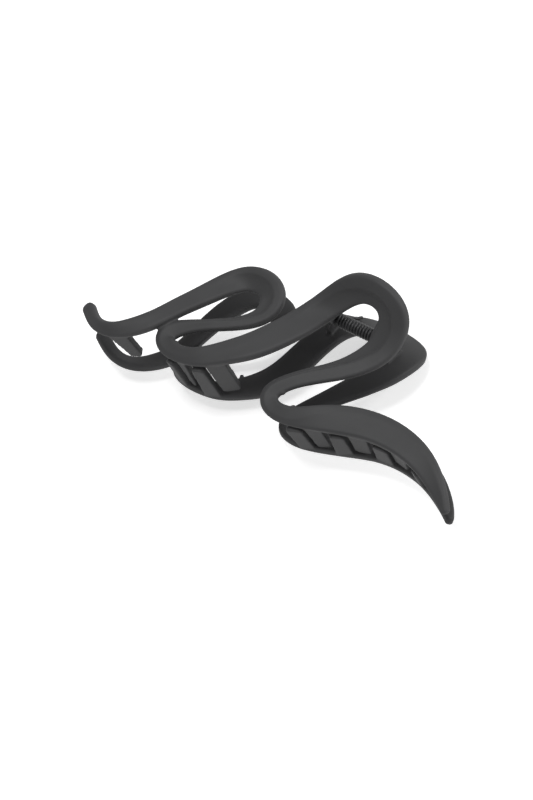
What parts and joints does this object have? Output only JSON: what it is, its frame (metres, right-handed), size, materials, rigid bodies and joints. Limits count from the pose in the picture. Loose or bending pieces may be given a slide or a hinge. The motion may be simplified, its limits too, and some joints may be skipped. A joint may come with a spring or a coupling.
{
  "type": "claw clip",
  "caption": "Serpentine hair claw clip: two mirrored wave-shaped jaws with interlocking teeth, hinged on a pin and closed by a torsion spring.",
  "frame": {"origin": "on the hinge axis, halfway along the spring coil, in the plane between the two jaws", "axes": "+X along the hinge towards the pointed tail, +Y from the teeth towards the finger loops, +Z from the lower jaw to the upper jaw, with the clip lying on its lower jaw"},
  "size_m": [0.1318, 0.0508, 0.039],
  "materials": {
    "jaw_plastic": "soft-touch matte, fine grain",
    "pin_steel": "darkened steel",
    "spring_steel": "black coated wire, satin"
  },
  "bodies": {
    "lower_half": {"lower_jaw": "jaw_plastic", "hinge_pin": "pin_steel", "torsion_spring": "spring_steel"},
    "upper_half": {"upper_jaw": "jaw_plastic"}
  },
  "joints": [
    {"name": "jaw_hinge", "type": "hinge", "parent": "lower_half", "child": "upper_half", "pos_m": [0, 0, 0], "axis": [-1, 0, 0], "range_deg": [0, 60], "stiffness_Nm_per_rad": 0.12, "springref_deg": -28.65, "deforming": ["torsion_spring"]}
  ]
}
